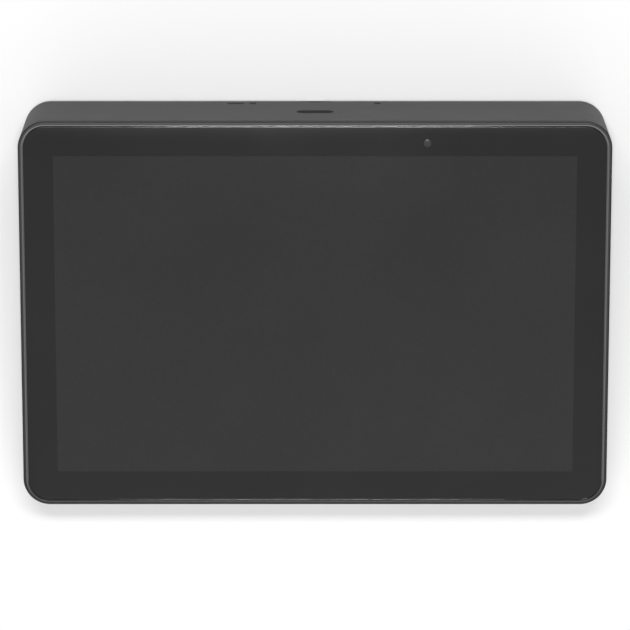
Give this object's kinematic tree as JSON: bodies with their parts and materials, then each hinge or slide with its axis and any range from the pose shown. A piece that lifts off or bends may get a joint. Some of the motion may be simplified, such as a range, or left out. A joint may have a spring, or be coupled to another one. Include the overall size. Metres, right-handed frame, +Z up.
{
  "type": "smart display",
  "caption": "Tabletop smart display: a wedge with a tilted touch screen under dark glass, a weighted base and a cable bay behind a hinged door.",
  "frame": {"origin": "middle of the footprint, on the surface that it stands on", "axes": "+X to the right as the user faces the screen, +Y to the back, +Z up; the screen slopes up to the back"},
  "size_m": [0.246, 0.1707, 0.0502],
  "materials": {
    "rim_metal": "fine bead-blasted, dark anodised, bright on the chamfer",
    "screen_glass": "anti-glare satin, black print behind",
    "black_foam": "closed-cell foam tape",
    "film": "clear laminated film over black",
    "screen_cell": "dark polariser",
    "pressed_steel": "zinc-plated sheet",
    "backlight_module": "white moulded frame over light guides",
    "circuit_board": "green solder mask",
    "flex_film": "amber polyimide",
    "housing_plastic": "fine moulded grain, graphite",
    "badge_plastic": "satin inlay, blank",
    "base_plastic": "moulded grain, dark graphite",
    "ballast_iron": "black phosphate",
    "foot_rubber": "matte silicone rubber",
    "chip_black": "moulded epoxy",
    "pad_rubber": "soft gap filler",
    "tin_plate": "tin-plated sheet",
    "bare_aluminium": "brushed",
    "connector_plastic": "natural nylon",
    "tub_plastic": "fine moulded grain",
    "screw_steel": "black zinc",
    "insert_brass": "plain"
  },
  "bodies": {
    "case": {"rim_frame": "rim_metal", "cover_glass": "screen_glass", "glass_gasket": "black_foam", "touch_sensor": "film", "lcd_cell": "screen_cell", "lcd_backlight": "backlight_module", "backlight_pads": "black_foam", "chassis_plate": "pressed_steel", "sensor_board": "circuit_board", "touch_flex": "flex_film", "lcd_flex": "flex_film", "housing": "housing_plastic", "blank_badge": "badge_plastic", "lock_plate": "pressed_steel", "base_pan": "base_plastic", "ballast_plate": "ballast_iron", "front_foot": "foot_rubber", "rear_foot_left": "foot_rubber", "rear_foot_right": "foot_rubber", "main_board": "circuit_board", "processor": "chip_black", "thermal_pad": "pad_rubber", "shield_can": "tin_plate", "heat_spreader": "bare_aluminium", "wireless_module": "tin_plate", "flex_connectors": "connector_plastic", "board_parts": "chip_black", "usb_c_socket": "tin_plate", "hdmi_socket": "tin_plate", "bay_tub": "tub_plastic", "cable_clamp": "tub_plastic", "frame_screws": "screw_steel", "base_screws": "screw_steel", "thread_inserts": "insert_brass", "board_screws": "screw_steel", "spreader_screws": "screw_steel", "ballast_screws": "screw_steel", "tub_screws": "screw_steel", "clamp_screws": "screw_steel"},
    "door": {"bay_door": "base_plastic"}
  },
  "joints": [
    {"name": "bay_door_hinge", "type": "hinge", "parent": "case", "child": "door", "pos_m": [0, 0.02612, 0.0029], "axis": [-1, 0, 0], "range_deg": [0, 75]}
  ]
}
